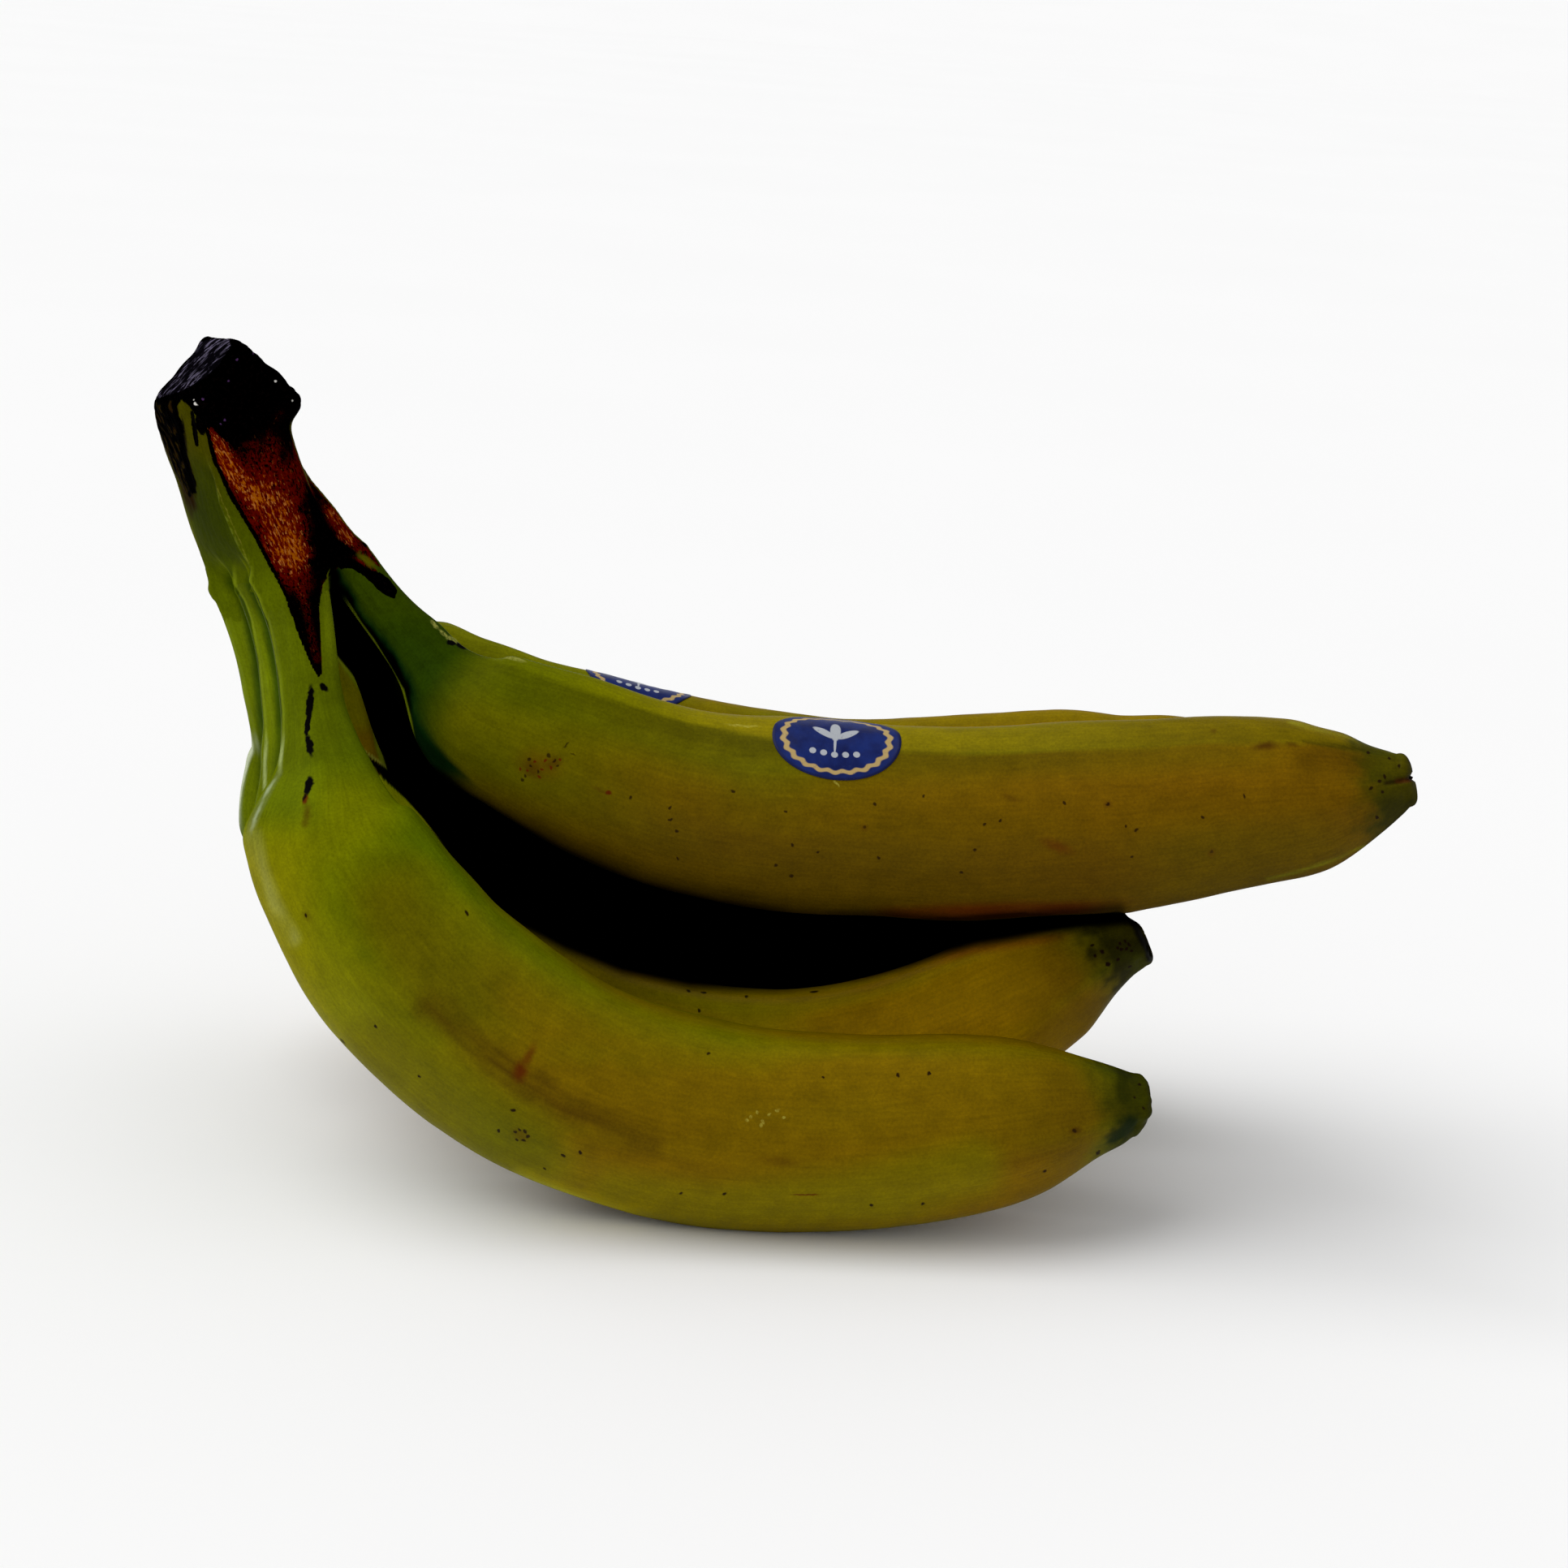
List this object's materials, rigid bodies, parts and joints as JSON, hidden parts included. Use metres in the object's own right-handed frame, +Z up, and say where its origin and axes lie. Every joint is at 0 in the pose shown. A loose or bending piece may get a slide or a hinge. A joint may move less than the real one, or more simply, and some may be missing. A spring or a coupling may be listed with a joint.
{
  "type": "bunch of bananas",
  "caption": "Bunch of curved yellow-green bananas joined at their cut brown crown, lying on its outer row of fruits, with small oval paper labels.",
  "frame": {"origin": "centre of the bunch's bounding box on the plane that it rests on", "axes": "+Z up; +X along the fruits, from the crown end to the fruit tips; +Y from the front fruit of each row towards the back ones"},
  "size_m": [0.2532, 0.124, 0.1652],
  "materials": {
    "banana_skin": "satin",
    "crown_bark": "matte",
    "label_paper": "gloss"
  },
  "bodies": {
    "root": {"crown": "crown_bark", "banana_outer_front": "banana_skin", "banana_outer_middle": "banana_skin", "banana_outer_back": "banana_skin", "banana_inner_front": "banana_skin", "banana_inner_back": "banana_skin", "sticker_front": "label_paper", "sticker_back": "label_paper"}
  },
  "joints": []
}
